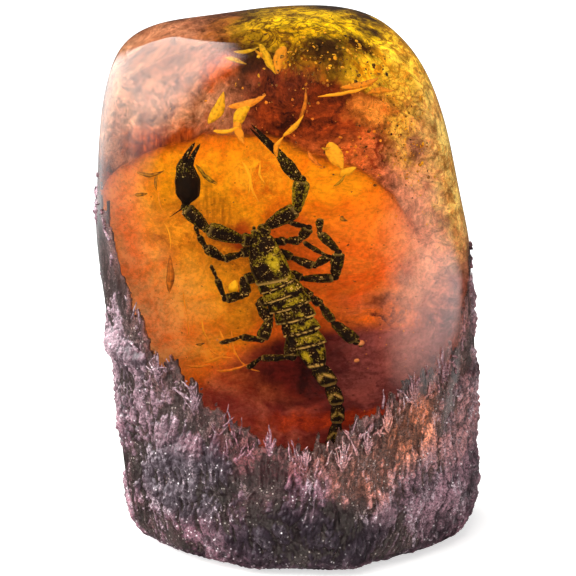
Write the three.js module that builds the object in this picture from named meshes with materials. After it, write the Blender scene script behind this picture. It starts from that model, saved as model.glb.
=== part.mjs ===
// A cast amber-resin block that stands on its flat foot. Four rails give its outline: the
// left and right ones its face, the front and back ones its thickness. Every level is an oval
// through the rails. The upper part is ground and polished, and the foot and the edges keep the
// fluted, bark-like rind of the casting.
//
// Millimetres, +Z up. The face looks along -Y, and the origin is the middle of the foot.
import * as THREE from "three";

// Driving dimensions.
const HEIGHT = 81.5;
const HALF_WIDTH = 28;
const HALF_DEPTH = 19;

// The crown lies off the middle: every oval is drawn about this upright axis.
const AXIS = new THREE.Vector2(3.5, 2);

// Edge of the foot: how far it is drawn in, and the level at which the rails start.
const FOOT_INSET = 2.6;
const FOOT_ROUND = 2.6;

// The rind: how far its flutes stand in or out, and how high it reaches up each side.
const FLUTE_DEPTH = 0.45;
const RIND_TOP = { front: 20, back: 24, left: 60, right: 46 };
const RIND_FADE = 5;

// How much each oval swells (or, below zero, is cut back) between its side and its face.
const SWELL = { frontLeft: -0.025, frontRight: -0.08, back: 0.03 };

// Mesh density. An oval has SEGMENTS points, and the height has RINGS steps.
const SEGMENTS = 72;
const RINGS = 46;
// The share of the rings that closes the foot.
const FOOT_SHARE = 3 / RINGS;

// Each rail is a smooth curve of [distance out from the axis, level], from the foot to the crown.
const rail = (...points) =>
  new THREE.SplineCurve(points.map(([out, level]) => new THREE.Vector2(out, level)));

const LEFT = HALF_WIDTH + AXIS.x;
const RIGHT = HALF_WIDTH - AXIS.x;
const FRONT = HALF_DEPTH + AXIS.y;
const BACK = HALF_DEPTH - AXIS.y;

const RAILS = {
  left: rail(
    [LEFT - 3.8, FOOT_ROUND], [LEFT - 2.8, 16], [LEFT - 1.2, 34], [LEFT, 50], [LEFT - 0.4, 62],
    [LEFT - 1.6, 70.5], [LEFT - 4, 76.6], [LEFT - 9, 79.6], [14, HEIGHT - 0.9], [0, HEIGHT],
  ),
  right: rail(
    [RIGHT - 0.2, FOOT_ROUND], [RIGHT, 14], [RIGHT - 0.2, 30], [RIGHT - 0.8, 44],
    [RIGHT - 2.9, 55], [RIGHT - 5.4, 66], [RIGHT - 8.8, 74], [RIGHT - 13.6, 79.2],
    [6, HEIGHT - 0.5], [0, HEIGHT],
  ),
  front: rail(
    [FRONT - 2.8, FOOT_ROUND], [FRONT - 0.8, 14], [FRONT, 30], [FRONT - 0.6, 46], [FRONT - 2.2, 60],
    [FRONT - 4, 69], [FRONT - 6.6, 75.4], [FRONT - 10.6, 79], [5, HEIGHT - 0.7], [0, HEIGHT],
  ),
  back: rail(
    [BACK - 0.6, FOOT_ROUND], [BACK - 0.1, 14], [BACK, 30], [BACK - 0.3, 46], [BACK - 1, 60],
    [BACK - 2.4, 70], [BACK - 4.6, 76.8], [BACK - 8, 80.2], [4, HEIGHT - 0.2], [0, HEIGHT],
  ),
};

// The level that the rind reaches at this angle, round from +X.
function rindTop(angle) {
  const sideways = Math.cos(angle) ** 6;
  const side = Math.cos(angle) > 0 ? RIND_TOP.right : RIND_TOP.left;
  const face = Math.sin(angle) > 0 ? RIND_TOP.back : RIND_TOP.front;
  return THREE.MathUtils.lerp(face, side, sideways);
}

// How far the rind stands out at this angle and level: upright flutes that wander and fork.
function fluteAt(angle, level) {
  const covered = 1 - THREE.MathUtils.smoothstep(level, rindTop(angle) - RIND_FADE, rindTop(angle));
  const offFoot = THREE.MathUtils.smoothstep(level, 0, 2 * FOOT_ROUND);
  const narrow = Math.sin(13 * angle + 1.9 * Math.sin(0.11 * level));
  const broad = Math.sin(7 * angle - 0.17 * level);
  return FLUTE_DEPTH * covered * offFoot * (0.6 * narrow + 0.4 * broad);
}

// The oval's size at this angle against a plain oval's.
function swellAt(angle) {
  const front = Math.cos(angle) > 0 ? SWELL.frontRight : SWELL.frontLeft;
  const most = Math.sin(angle) > 0 ? SWELL.back : front;
  return 1 + most * Math.sin(2 * angle) ** 2;
}

// A point of the skin. Angle runs round from +X, and share from 0, under the foot, to 1, the crown.
function skinPoint(angle, share) {
  const along = Math.cos(angle);
  const across = Math.sin(angle);
  const swell = swellAt(angle);
  const climb = Math.max(0, (share - FOOT_SHARE) / (1 - FOOT_SHARE));
  const side = (along > 0 ? RAILS.right : RAILS.left).getPointAt(climb);
  const face = (across > 0 ? RAILS.back : RAILS.front).getPointAt(climb);
  if (share < FOOT_SHARE - 1e-9) {
    // Inside the foot's edge: the flat underside.
    const reach = (swell * share) / (FOOT_SHARE - 1 / RINGS);
    return new THREE.Vector3(
      (side.x - FOOT_INSET) * along * reach,
      (face.x - FOOT_INSET) * across * reach,
      0,
    );
  }
  const level = side.y * along ** 2 + face.y * across ** 2;
  const flute = fluteAt(angle, level);
  return new THREE.Vector3(
    (side.x * swell + flute) * along,
    (face.x * swell + flute) * across,
    level,
  );
}

// The block: a sphere's grid of rings and segments, each point moved onto the skin.
function blockGeometry() {
  const geometry = new THREE.SphereGeometry(1, SEGMENTS, RINGS);
  const position = geometry.getAttribute("position");
  const uv = geometry.getAttribute("uv");
  for (let i = 0; i < position.count; i++) {
    // At the poles the grid's own angle is half a step off, which the zero radius hides.
    const point = skinPoint(2 * Math.PI * uv.getX(i), uv.getY(i));
    position.setXYZ(i, point.x, point.y, point.z);
  }
  geometry.deleteAttribute("uv");
  geometry.computeVertexNormals();
  return geometry;
}

function resinBlock() {
  const amber = new THREE.MeshStandardMaterial({ color: 0xd9741a, roughness: 0.08, metalness: 0 });
  const block = new THREE.Mesh(blockGeometry(), amber);
  block.name = "resin_block";
  block.position.set(AXIS.x, AXIS.y, 0);
  return block;
}

const ornament = new THREE.Group();
ornament.add(resinBlock());

export default ornament;
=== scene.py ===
# The finish of a cast amber-resin block with a dried scorpion sealed in it. The block stands on
# its flat foot. Its upper part is ground and polished, so that one looks in through it, and its
# foot and edges keep the rough, bark-like rind of the casting.
#
# Metres, +Z up. The polished face looks along -Y.
import math
import random

import bmesh
import bpy
from mathutils import Matrix, Vector, noise
from mathutils.bvhtree import BVHTree


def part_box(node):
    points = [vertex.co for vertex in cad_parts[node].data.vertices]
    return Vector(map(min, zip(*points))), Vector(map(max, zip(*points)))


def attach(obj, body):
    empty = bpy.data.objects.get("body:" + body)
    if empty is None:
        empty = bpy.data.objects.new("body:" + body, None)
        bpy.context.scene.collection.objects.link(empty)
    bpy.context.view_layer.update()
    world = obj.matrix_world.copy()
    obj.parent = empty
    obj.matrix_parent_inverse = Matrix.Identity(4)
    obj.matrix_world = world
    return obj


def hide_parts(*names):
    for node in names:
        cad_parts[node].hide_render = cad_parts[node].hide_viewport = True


# One fixed draw of the swaying noise, so that the rind and the scraps grow the same in every run.
noise.seed_set(11)

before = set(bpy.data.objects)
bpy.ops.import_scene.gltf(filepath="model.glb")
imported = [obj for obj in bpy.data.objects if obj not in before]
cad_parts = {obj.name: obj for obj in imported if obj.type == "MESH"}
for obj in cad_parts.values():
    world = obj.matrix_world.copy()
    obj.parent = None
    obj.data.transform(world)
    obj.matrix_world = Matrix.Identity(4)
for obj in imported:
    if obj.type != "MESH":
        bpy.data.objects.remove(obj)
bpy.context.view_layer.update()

MM = 0.001
FULL_TURN = 2 * math.pi

_, block_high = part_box("resin_block")
CROWN = block_high.z / MM
# The upright line inside the block from which its skin is measured, in mm.
CORE = Vector((3.5, 2.0, 0.0))


# ---------------------------------------------------------------- camera

CAMERA_ELEVATION = math.radians(21)
CAMERA_DISTANCE = 420 * MM
CAMERA_TARGET = Vector((0, 0, 40.1 * MM))
CAMERA_LENS = 177.5


def stand_camera():
    data = bpy.data.cameras.new("camera")
    data.lens = CAMERA_LENS
    data.clip_start = 10 * MM
    camera = bpy.data.objects.new("camera", data)
    bpy.context.scene.collection.objects.link(camera)
    away = Vector((0, -math.cos(CAMERA_ELEVATION), math.sin(CAMERA_ELEVATION)))
    camera.location = CAMERA_TARGET + CAMERA_DISTANCE * away
    camera.rotation_euler = away.to_track_quat("Z", "Y").to_euler()
    bpy.context.scene.camera = camera


# ---------------------------------------------------------------- small helpers

def srgb(code):
    """A hex colour such as #e08a1e as linear red, green, blue and alpha."""
    channels = [int(code[i:i + 2], 16) / 255 for i in (1, 3, 5)]
    linear = [c / 12.92 if c <= 0.04045 else ((c + 0.055) / 1.055) ** 2.4 for c in channels]
    return (*linear, 1.0)


def mix(a, b, share):
    return a + (b - a) * share


def ramp(value, low, high):
    """0 at low and below, 1 at high and above, and smooth between them."""
    share = min(1.0, max(0.0, (value - low) / (high - low)))
    return share * share * (3 - 2 * share)


def add(tree, kind, settings=None, links=None):
    """Adds a node. Settings are its own properties or its inputs' values. Links feed its inputs: each
    comes from another node's output, or from its first output if only the node is given."""
    node = tree.nodes.new("ShaderNode" + kind)
    for name, value in (settings or {}).items():
        if isinstance(name, int) or name in node.inputs:
            node.inputs[name].default_value = value
        else:
            setattr(node, name, value)
    for name, source in (links or {}).items():
        tree.links.new(getattr(source, "outputs", [source])[0], node.inputs[name])
    return node


def new_material(name):
    material = bpy.data.materials.new(name)
    material.use_nodes = True
    material.node_tree.nodes.clear()
    return material, material.node_tree


def place_in_mm(tree):
    """A node that gives the place on the piece, in mm."""
    where = add(tree, "TexCoord")
    return add(tree, "VectorMath", {"operation": "SCALE", "Scale": 1 / MM}, {0: where.outputs["Object"]})


def patch(tree, place, centre, reach, soft):
    """1 inside an oval about the centre, across the face in mm, and 0 outside it."""
    off = add(tree, "VectorMath", {"operation": "SUBTRACT", 1: (centre[0], 0, centre[1])}, {0: place})
    scaled = add(tree, "VectorMath", {"operation": "MULTIPLY", 1: (1 / reach[0], 0, 1 / reach[1])}, {
        0: off})
    length = add(tree, "VectorMath", {"operation": "LENGTH"}, {0: scaled})
    settings = {
        "interpolation_type": "SMOOTHSTEP",
        "From Min": 1 - soft, "From Max": 1 + soft, "To Min": 1.0, "To Max": 0.0,
    }
    return add(tree, "MapRange", settings, {"Value": length.outputs["Value"]})


def close_material(tree, settings, links=None, volume=None):
    shader = add(tree, "BsdfPrincipled", settings, links)
    ends = {"Surface": shader.outputs["BSDF"]}
    if volume:
        ends["Volume"] = volume
    add(tree, "OutputMaterial", None, ends)


def new_piece(name, mesh, *materials):
    piece = bpy.data.objects.new(name, mesh)
    bpy.context.scene.collection.objects.link(piece)
    for material in materials:
        mesh.materials.append(material)
    return piece


# ---------------------------------------------------------------- the clear block

def clear_amber_resin():
    # Clear polyester casting resin with an amber dye, ground and buffed: a wet gloss, an orange
    # depth that grows with thickness, and a bent view of what is sealed in it.
    material, tree = new_material("amber_dyed_casting_resin")
    dye = add(tree, "VolumeAbsorption", {"Color": srgb("#ffd28a"), "Density": 28.0})
    settings = {
        "Base Color": srgb("#fff6e6"),
        "Roughness": 0.03,
        "IOR": 1.54,
        "Transmission Weight": 1.0,
    }
    close_material(tree, settings, volume=dye.outputs["Volume"])
    return material


def cast_block():
    """The block's own skin, rounded so that no facet shows in the polish."""
    work = bmesh.new()
    work.from_mesh(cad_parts["resin_block"].data)
    bmesh.ops.remove_doubles(work, verts=work.verts, dist=0.001 * MM)
    bmesh.ops.join_triangles(
        work, faces=work.faces, angle_face_threshold=math.pi, angle_shape_threshold=math.pi
    )
    mesh = bpy.data.meshes.new("cast_block")
    work.to_mesh(mesh)
    work.free()
    rounded = new_piece("cast_block", mesh)
    rounded.modifiers.new("round", "SUBSURF").levels = 2
    evaluated = rounded.evaluated_get(bpy.context.evaluated_depsgraph_get())
    fine = bpy.data.meshes.new_from_object(evaluated)
    rounded.modifiers.clear()
    rounded.data = fine
    fine.materials.append(clear_amber_resin())
    fine.polygons.foreach_set("use_smooth", [True] * len(fine.polygons))
    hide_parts("resin_block")
    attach(rounded, "root")
    return rounded


# ---------------------------------------------------------------- the skin, for what follows it

def read_skin(piece):
    return BVHTree.FromPolygons(
        [vertex.co / MM for vertex in piece.data.vertices],
        [tuple(face.vertices) for face in piece.data.polygons],
    )


def skin_at(angle, level):
    """The skin's point at this angle round from +X and this level, in mm, and the way it faces."""
    out = Vector((math.cos(angle), math.sin(angle), 0))
    point, faces, _, _ = skin.ray_cast(CORE + Vector((0, 0, level)), out)
    return point, faces


# ---------------------------------------------------------------- the rind

# How high the rind reaches, in mm, at each angle round from +X, in degrees. The face is at -90.
RIND_EDGE = [
    (-180, 59), (-170, 54), (-166, 49), (-164, 44.5), (-159, 40.5), (-150, 34), (-142, 32), (-133, 29),
    (-126, 26), (-110, 23.5), (-93, 23), (-85, 22.5), (-76, 25), (-62, 27.5), (-46, 30.5), (-30, 31),
    (-18, 34), (-8, 42), (0, 47), (12, 42), (30, 33), (60, 26), (95, 22), (128, 26), (150, 36),
    (166, 52), (180, 59),
]
# The rind's fibres and the lobes that they bunch into, in mm: (across, along).
FIBRE = (0.85, 5.5)
LOBE = (4.0, 11.0)
GRAIN = 0.45
CHIP = 1.5
# How high each of the rind's patterns stands, in mm, and how far the whole is let down again.
LIFT = {"lobe": 0.5, "fibre": 0.46, "fine": 0.28, "rib": 0.12, "grain": 0.12, "chip": 0.26, "big": 0.8}
LET_DOWN = 1.22
# How much frost each place and pattern of the rind holds. Little has grown low down in front.
FROST = {"rim": 0.25, "patch": 0.4, "grain": 0.35, "bare": 0.5, "left": 0.14, "iced": 0.32, "edge": 0.04}
# How far the rind stands proud of the block's skin at its verge and well inside it, in mm.
PROUD = (-0.75, 0.45)
RIND_THICKNESS = 0.9
# A hollow under the block's clear skin keeps this share of its depth.
HOLLOW_SHARE = 0.65
# How many crystal needles stand at the rind's edge, and where they bunch into tufts as seen from in
# front: their root and length in mm, and how far they spread to each side.
NEEDLES = 300
TUFTS = [
    ((-2.6, 21.5), 0.04, 4.4), ((7.8, 18.6), 0.07, 6.0), ((14.3, 23.6), 0.05, 5.2),
    ((18.2, 26.8), 0.07, 5.0), ((-18.8, 29.8), 0.05, 5.2), ((-13.4, 26.8), 0.05, 4.6),
    ((2.6, 19.8), 0.04, 3.2), ((11.5, 20.8), 0.04, 3.8),
]
FOOT_RINGS = 14
RIND_UNDER = -0.1


def rind_edge(angle):
    degrees = math.degrees(angle)
    for (low, below), (high, above) in zip(RIND_EDGE, RIND_EDGE[1:]):
        if low <= degrees <= high:
            return mix(below, above, (degrees - low) / (high - low))
    return RIND_EDGE[-1][1]


def rind_relief(place):
    """How the rind stands at a place, in mm: its height, its frost with painted highlight on the crests,
    and its painted shade in the hollows, from 0 to 1.
    """
    sway = 1.6 * noise.noise_vector(place / 7)
    drawn = Vector(((place.x + sway.x) / FIBRE[0], (place.y + sway.y) / FIBRE[0], place.z / FIBRE[1]))
    fibre = 1 - abs(2 * noise.noise(drawn))
    fine = 1 - abs(2 * noise.noise(drawn * 2.7))
    bunch = place + 1.6 * sway
    lobed = Vector((bunch.x / LOBE[0], bunch.y / LOBE[0], bunch.z / LOBE[1]))
    gaps, centres = noise.voronoi(lobed)
    off = lobed - centres[0]
    flat = math.hypot(off.x, off.y)
    # A lobe swells upwards and ends in a ragged rim, and ribs fan out from its root.
    dome = ramp(gaps[1] - gaps[0], 0, 0.35)
    lobe = ramp(off.z, -0.6, 0.45) * dome
    ribs = 0.5 + 0.5 * math.sin(13 * math.atan2(off.x + off.y, off.z + 0.9) + 2 * sway.z)
    grain = 1 - noise.voronoi(place / GRAIN)[0][0]
    big = noise.noise(place / 8)
    patchy = noise.noise(place / 4.2 + Vector((7, 0, 0)))
    chips = noise.voronoi((place + 0.5 * sway) / CHIP)[0]
    chip = ramp(chips[1] - chips[0], 0, 0.4)
    height = LIFT["lobe"] * lobe + LIFT["fibre"] * fibre + LIFT["fine"] * fine + LIFT["rib"] * ribs * lobe
    height = height + LIFT["grain"] * grain + LIFT["chip"] * chip + LIFT["big"] * big - LET_DOWN
    # Painted highlight: the crests of the fibres and the ribs are made frost-pale, as if they caught the
    # light. The rest of the frost is the rind's own.
    painted_crest_highlight = 0.45 * ramp(fibre, 0.55, 1.0) + 0.35 * ramp(fine, 0.55, 1) + 0.25 * ribs * ramp(flat, 0.05, 0.3)
    rim = ramp(off.z, 0.0, 0.4) * (1 - ramp(gaps[1] - gaps[0], 0.2, 0.5))
    bare = math.exp(-((place.x - 3) / 13) ** 2 - ((place.z - 6) / 7) ** 2) * (place.y < 0)
    iced = math.exp(-((abs(place.x + 1) - 19.5) / 5) ** 2 - ((place.z - 7) / 6) ** 2) * (place.y < 0)
    edge = math.exp(-((place.x + 26) / 4) ** 2 - ((place.z - 40) / 14) ** 2)
    left = ramp(-place.x, 8, 20) * (place.y < 0)
    frost_and_highlight = painted_crest_highlight + FROST["rim"] * rim + FROST["patch"] * patchy + FROST["grain"] * ramp(grain, 0.7, 0.95)
    frost_and_highlight = frost_and_highlight - FROST["bare"] * bare - FROST["left"] * left + FROST["iced"] * iced + FROST["edge"] * edge
    frost_and_highlight = ramp(frost_and_highlight, 0.56, 1.2)
    # Painted shade: the fissures between lobes and the low places are darkened through the hollow value.
    fissure = 1 - ramp(gaps[1] - gaps[0], 0.0, 0.16)
    hollow_shade = min(1, 1 - ramp(0.5 * lobe + 0.4 * fibre + 0.35 * chip + 0.5 * big, 0.15, 0.85) + 0.6 * fissure)
    return height, frost_and_highlight, hollow_shade


def rind_fill(place, angle):
    """Above 0 where there is rind, in mm from its ragged, upright-fringed edge."""
    drawn = Vector((place.x / 1.5, place.y / 1.5, place.z / 9))
    fringe = 3.2 * noise.noise(drawn) + 2.0 * noise.noise(2.4 * drawn) + 1.5 * noise.noise(place / 0.8)
    return rind_edge(angle) - place.z + fringe


def rind_bulge(angle, level):
    """Where the rind swells or sinks at the block's two sides, in mm."""
    left, right = ramp(-math.cos(angle), 0.8, 0.95), ramp(math.cos(angle), 0.8, 0.95)
    swells = 0.9 * math.exp(-((level - 32) / 1.8) ** 2) - 0.9 * math.exp(-((level - 46.5) / 3) ** 2)
    bulges = 0.7 * math.exp(-((level - 26.5) / 1.6) ** 2) + math.exp(-((level - 9) / 4) ** 2)
    return left * swells + right * bulges


def rind_rows(step):
    """(share of the way from the core to the skin, level) of each ring of the rind, in mm."""
    foot = [(ring / FOOT_RINGS, 0) for ring in range(1, FOOT_RINGS)]
    highest = max(level for _, level in RIND_EDGE) + 5
    wall = [(1, row * step) for row in range(int(highest / step))]
    return foot + wall


def rind_piece(name, first, last, columns, step, material):
    """The rind between two angles, as a closed shell that laps the block's skin."""
    rows = rind_rows(step)
    outer, inner, frost_and_highlight, hollow_shade, verge, fill = [], [], [], [], [], []
    for share, level in rows:
        for column in range(columns + 1):
            angle = mix(first, last, column / columns)
            point, faces = skin_at(angle, max(level, 0.05))
            if share < 1:
                place = CORE.lerp(point, share)
                place.z = RIND_UNDER
                height, pale, deep = rind_relief(place)
                height, faces, filled = 0, Vector((0, 0, -1)), 10.0
            else:
                place = point
                height, pale, deep = rind_relief(place)
                filled = rind_fill(place, angle)
            stands = height * ramp(filled, -1, 4) * mix(0.4, 1, ramp(level, 0, 8))
            proud = mix(*PROUD, ramp(filled, 0, 9)) + stands
            if proud < 0:
                proud *= mix(1, HOLLOW_SHARE, ramp(filled, 1, 5))
            proud += rind_bulge(angle, level)
            low = ramp(level, 0, 1.5)
            outer.append(place + faces * mix(0, proud, low))
            inner.append(place - faces * (RIND_THICKNESS + 0.8))
            frost_and_highlight.append(pale)
            hollow_shade.append(deep)
            verge.append(1 - ramp(filled, 0, 6))
            fill.append(filled)
    points = outer + inner
    across = columns + 1
    faces = []
    sides = {}
    for row in range(len(rows) - 1):
        for column in range(columns):
            a = row * across + column
            ring = (a, a + 1, a + 1 + across, a + across)
            if min(fill[i] for i in ring) <= 0:
                continue
            faces.append(ring)
            faces.append(tuple(i + len(outer) for i in reversed(ring)))
            for start, end in zip(ring, ring[1:] + ring[:1]):
                if (end, start) in sides:
                    del sides[end, start]
                else:
                    sides[start, end] = True
    for start, end in sides:
        faces.append((end, start, start + len(outer), end + len(outer)))
    mesh = bpy.data.meshes.new(name)
    mesh.from_pydata([point * MM for point in points], [], faces)
    mesh.attributes.new("frost_and_highlight", "FLOAT", "POINT").data.foreach_set("value", frost_and_highlight + frost_and_highlight)
    mesh.attributes.new("hollow_shade", "FLOAT", "POINT").data.foreach_set("value", hollow_shade + hollow_shade)
    mesh.attributes.new("verge", "FLOAT", "POINT").data.foreach_set("value", verge + verge)
    work = bmesh.new()
    work.from_mesh(mesh)
    loose = [vertex for vertex in work.verts if not vertex.link_faces]
    bmesh.ops.delete(work, geom=loose, context="VERTS")
    work.to_mesh(mesh)
    work.free()
    mesh.polygons.foreach_set("use_smooth", [True] * len(mesh.polygons))
    piece = new_piece(name, mesh, material)
    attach(piece, "root")
    return piece


# Where dye rose into the rind, across the face in mm: the middle and the reach of an oval, and the
# colour there.
RIND_STAINS = [
    ((0, 22), (15, 4.5), "#8e5460"), ((11, 21), (9, 4), "#c08c8c"), ((-24, 38), (5, 15), "#80666e"),
    ((14, 17), (6, 5.5), "#c88478"), ((-18, 28), (6, 9), "#745860"), ((21, 30), (9, 12), "#a07074"),
    ((20, 12), (8, 7), "#84606a"), ((23, 22), (6, 7), "#a4706e"), ((17.5, 23), (4.4, 5.2), "#e8906c"),
    ((12, 17), (5, 4.2), "#cc8474"),
    ((6, 23), (2.6, 3.5), "#b0705c"), ((3, 7), (13, 6), "#2a2028"), ((-11, 16), (3, 7), "#2e232a"),
    ((-17, 14), (6, 6), "#463c42"),
]


def casting_rind():
    # The rough casting skin left unground: dark plum resin in fibres and lobes with frosty, sugary
    # crests. Its hollows are darkened with painted shade, and its crests carry painted highlight and glints.
    material, tree = new_material("rough_casting_rind")
    place = place_in_mm(tree)
    frost_and_highlight = add(tree, "Attribute", {"attribute_name": "frost_and_highlight"})
    hollow_shade = add(tree, "Attribute", {"attribute_name": "hollow_shade"})
    verge = add(tree, "Attribute", {"attribute_name": "verge"})
    clouds = add(tree, "TexNoise", {"Scale": 1 / 4, "Detail": 5.0, "Roughness": 0.65}, {"Vector": place})
    swirl = add(tree, "VectorMath", {"operation": "MULTIPLY_ADD", 1: (6, 6, 6), 2: (-3, -3, -3)}, {
        0: clouds.outputs["Color"]})
    bent = add(tree, "VectorMath", {"operation": "ADD"}, {0: place, 1: swirl})
    fibres = add(tree, "Mapping", {"Scale": (1 / 0.35, 1 / 0.35, 1 / 2.6)}, {"Vector": bent})
    streaks = add(tree, "TexNoise", {"Scale": 1.0, "Detail": 5.0}, {"Vector": fibres})
    crumbs = add(tree, "TexNoise", {"Scale": 1 / 0.3, "Detail": 3.0}, {"Vector": place})
    body = add(tree, "ValToRGB", None, {"Fac": clouds})
    body.color_ramp.elements[0].position = 0.4
    body.color_ramp.elements[0].color = srgb("#2e1a23")
    body.color_ramp.elements[1].position = 0.62
    body.color_ramp.elements[1].color = srgb("#7a505c")
    colour = body.outputs["Color"]
    for centre, reach, stain in RIND_STAINS:
        inside = patch(tree, bent, centre, reach, 0.45)
        colour = add(tree, "Mix", {"data_type": "RGBA", 7: srgb(stain)}, {
            0: inside, 6: colour}).outputs[2]
    # The rind thins out to a paler mauve towards its edge.
    thin = add(tree, "Math", {"operation": "MULTIPLY", 1: 0.55}, {0: verge.outputs["Fac"]})
    colour = add(tree, "Mix", {"data_type": "RGBA", 7: srgb("#a06c72")}, {
        0: thin, 6: colour}).outputs[2]
    streaked = add(tree, "MapRange", {
        "From Min": 0.35, "From Max": 0.65, "To Min": 0.35, "To Max": 1.55}, {"Value": streaks})
    # Painted shade: the hollows are darkened.
    painted_hollow_shade = add(tree, "MapRange", {"To Min": 1.05, "To Max": 0.2}, {"Value": hollow_shade.outputs["Fac"]})
    streaky = add(tree, "Math", {"operation": "MULTIPLY"}, {
        0: streaked, 1: painted_hollow_shade})
    pitted = add(tree, "MapRange", {
        "From Min": 0.36, "From Max": 0.6, "To Min": 0.35, "To Max": 1.5}, {"Value": crumbs})
    shade = add(tree, "Math", {"operation": "MULTIPLY"}, {
        0: streaky, 1: pitted})
    # The colour runs from dark plum up to half again as light with the shade value: its streaks and crumbs,
    # and the painted shade of the hollows.
    half_again = {"data_type": "RGBA", "blend_type": "MULTIPLY", 0: 1.0, 7: (1.5, 1.5, 1.5, 1)}
    lightened = add(tree, "Mix", half_again, {6: colour})
    level = add(tree, "Math", {"operation": "MULTIPLY", 1: 0.67, "use_clamp": True}, {0: shade})
    dark = add(tree, "Mix", {"data_type": "RGBA", 6: srgb("#22121a")}, {
        0: level, 7: lightened.outputs[2]})
    # Pale frost, which on the crests is painted highlight.
    sugar = add(tree, "MapRange", {"From Min": 0.45, "From Max": 0.62}, {"Value": crumbs})
    pale = add(tree, "Math", {"operation": "MULTIPLY", "use_clamp": True}, {
        0: frost_and_highlight.outputs["Fac"], 1: sugar})
    frosted = add(tree, "Mix", {"data_type": "RGBA", 7: srgb("#b49ca4")}, {
        0: pale, 6: dark.outputs[2]})
    # A web of pale crystal threads, a fifth of a millimetre thick, grew over it in patches.
    tangle = add(tree, "TexNoise", {"Scale": 1 / 0.9, "Detail": 4.0, "Roughness": 0.7, "Distortion": 1.2}, {
        "Vector": place})
    off = add(tree, "Math", {"operation": "SUBTRACT", 1: 0.5}, {0: tangle})
    away = add(tree, "Math", {"operation": "ABSOLUTE"}, {0: off})
    thread = add(tree, "MapRange", {"From Min": 0.03, "From Max": 0.012}, {"Value": away})
    grown = add(tree, "MapRange", {"From Min": 0.46, "From Max": 0.62}, {"Value": clouds})
    held = add(tree, "MapRange", {"From Max": 0.5, "To Min": 0.2}, {"Value": frost_and_highlight.outputs["Fac"]})
    grown = add(tree, "Math", {"operation": "MULTIPLY"}, {0: grown, 1: held})
    web = add(tree, "Math", {"operation": "MULTIPLY"}, {0: thread, 1: grown})
    frosted = add(tree, "Mix", {"data_type": "RGBA", 7: srgb("#ccb8c0")}, {
        0: web, 6: frosted.outputs[2]})
    # Painted glints: white dots about a millimetre apart, where single crystals would catch the light.
    glint_cells = add(tree, "TexVoronoi", {"Scale": 1 / 0.8}, {"Vector": place})
    near = add(tree, "MapRange", {"From Min": 0.2, "From Max": 0.11}, {"Value": glint_cells})
    lit = add(tree, "MapRange", {"From Min": 0.42, "From Max": 0.6}, {"Value": clouds})
    painted_glint = add(tree, "Math", {"operation": "MULTIPLY"}, {0: near, 1: lit})
    colour = add(tree, "Mix", {"data_type": "RGBA", 7: srgb("#efe6e6")}, {
        0: painted_glint, 6: frosted.outputs[2]})
    bump = add(tree, "Bump", {"Strength": 0.8, "Distance": 0.15 * MM}, {
        "Height": crumbs})
    close_material(
        tree, {"Roughness": 0.4, "IOR": 1.54},
        {"Base Color": colour.outputs[2], "Normal": bump},
    )
    return material


def front_angle(right, up):
    """The angle of the skin's place that is seen this far to the right from in front, in mm."""
    low, high = -math.pi, 0.0
    for _ in range(18):
        angle = (low + high) / 2
        if skin_at(angle, up)[0].x < right:
            low = angle
        else:
            high = angle
    return angle


def needle(clay, root, tip, width, pale):
    """A crystal needle that lies along the skin. Root and tip are (angle, level)."""
    rings, marks = [], []
    steps, sides = 10, 7
    start, end = skin_at(*root)[0], skin_at(*tip)[0]
    side, up = stand_across((end - start).normalized())
    for step in range(steps + 1):
        share = step / steps
        sway = 0.012 * noise.noise(Vector((tip[0] * 9, tip[1], 3 * share)))
        point, out = skin_at(mix(root[0], tip[0], share) + sway, mix(root[1], tip[1], share))
        wide = width * (1 - 0.85 * share ** 2) * (1 + 0.5 * noise.noise(point / 0.5))
        centre = point + out * mix(0.1, 0.18, share)
        turns = [FULL_TURN * i / sides for i in range(sides)]
        rings.append([centre + wide * (side * math.cos(turn) + out * math.sin(turn)) for turn in turns])
        # Marks: frost growing towards the tip, painted shade at the root, and a little of the verge's mauve.
        marks.append([(pale * share, 0.6 * (1 - share), 0.4)] * sides)
    clay.loft(rings, marks)


def grow_fronds(material):
    """Crystal needles that stand up out of the rind's edge, flat against the skin."""
    draw = random.Random(3)
    needles = Clay("frost_and_highlight", "hollow_shade", "verge")
    for _ in range(NEEDLES):
        angle = draw.uniform(-math.pi, math.pi)
        root = min(60, rind_edge(angle) + draw.uniform(-5, 0.5))
        length = 0.6 + 2.6 * draw.random() ** 2
        needle(needles, (angle, root), (angle + draw.gauss(0, 0.03), root + length), draw.uniform(0.1, 0.24),
               draw.uniform(0.1, 0.9))
    for (right, root), spread, length in TUFTS:
        angle = front_angle(right, root)
        for i in range(7):
            lean = (i - 3) / 3
            reach = length * (1 - 0.45 * abs(lean)) * draw.uniform(0.8, 1.1)
            tip = (angle + spread * lean, root + reach)
            needle(needles, (angle, root), tip, draw.uniform(0.1, 0.2), 0.6)
    needles.piece("rind_needles", material, "rough_rind")


def grow_rind():
    material = casting_rind()
    grow_fronds(material)
    rind_piece("rind_front_left", -math.pi, -math.pi / 2, 230, 0.22, material)
    rind_piece("rind_front_right", -math.pi / 2, 0, 230, 0.22, material)
    rind_piece("rind_back", 0, math.pi, 260, 0.32, material)


# ---------------------------------------------------------------- the cloudy pour

POUR_FRONT = 2.0
POUR_LEVELS = (3.0, 78.6)
POUR_ROWS = 150
POUR_COLUMNS = 220
POUR_GAP = {"side": 3.2, "back": 1.6}
# The bright orange window in the pour, partly dye and partly painted light for the glow from behind:
# a disc on the face, in mm.
WINDOW_CENTRE = (-7.0, 39.8)
WINDOW_RADIUS = 23.8
# The red that wells up from the foot.
WELL_CENTRE = (7.0, 14.5)
WELL_REACH = (20.5, 21.0)


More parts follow.
